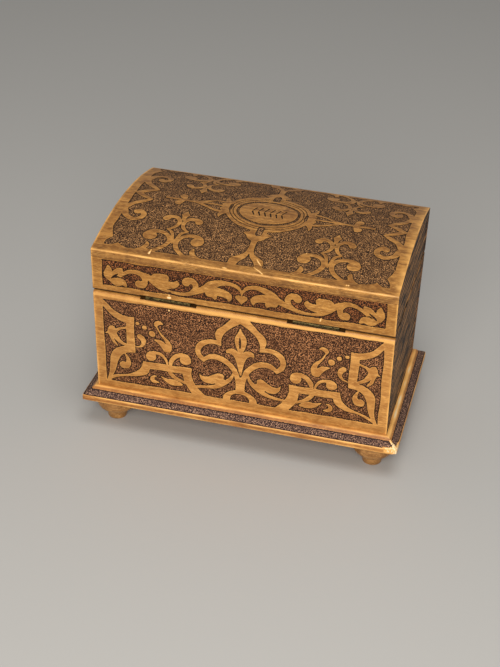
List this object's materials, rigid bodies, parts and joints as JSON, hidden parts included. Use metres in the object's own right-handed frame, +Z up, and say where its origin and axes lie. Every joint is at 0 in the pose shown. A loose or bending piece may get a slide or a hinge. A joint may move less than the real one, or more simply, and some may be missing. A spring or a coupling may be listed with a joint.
{
  "type": "wooden jewelry box",
  "caption": "Small wooden casket with leaning long walls, a low arched hinged lid, a moulded plinth and turned feet, decorated with burnt scrollwork.",
  "frame": {"origin": "on the standing surface, under the middle of the plinth", "axes": "+Z up, +X along the length, the hinges on the +Y side and the opening side towards -Y"},
  "size_m": [0.2178, 0.131, 0.149],
  "materials": {
    "burnt_wood": "honey-coloured wood with a dark burnt stippled ground, worn satin varnish",
    "plain_wood": "honey-coloured wood, worn satin varnish",
    "brass": "old brass, tarnished nearly black"
  },
  "bodies": {
    "box": {"plinth": "burnt_wood", "body_wall_back": "burnt_wood", "body_wall_front": "burnt_wood", "body_end_left": "burnt_wood", "body_end_right": "burnt_wood", "foot_back_left": "plain_wood", "foot_back_right": "plain_wood", "foot_front_left": "plain_wood", "foot_front_right": "plain_wood", "hinge_leaf_body_left": "brass", "hinge_leaf_body_right": "brass", "hinge_pin_left": "brass", "hinge_pin_right": "brass"},
    "lid": {"lid_rail_back": "burnt_wood", "lid_rail_front": "burnt_wood", "lid_end_left": "burnt_wood", "lid_end_right": "burnt_wood", "lid_top": "burnt_wood", "hinge_leaf_lid_left": "brass", "hinge_leaf_lid_right": "brass"}
  },
  "joints": [
    {"name": "lid_hinge", "type": "hinge", "parent": "box", "child": "lid", "pos_m": [0, 0.06131, 0.1086], "axis": [-1, 0, 0], "range_deg": [0, 100]}
  ]
}
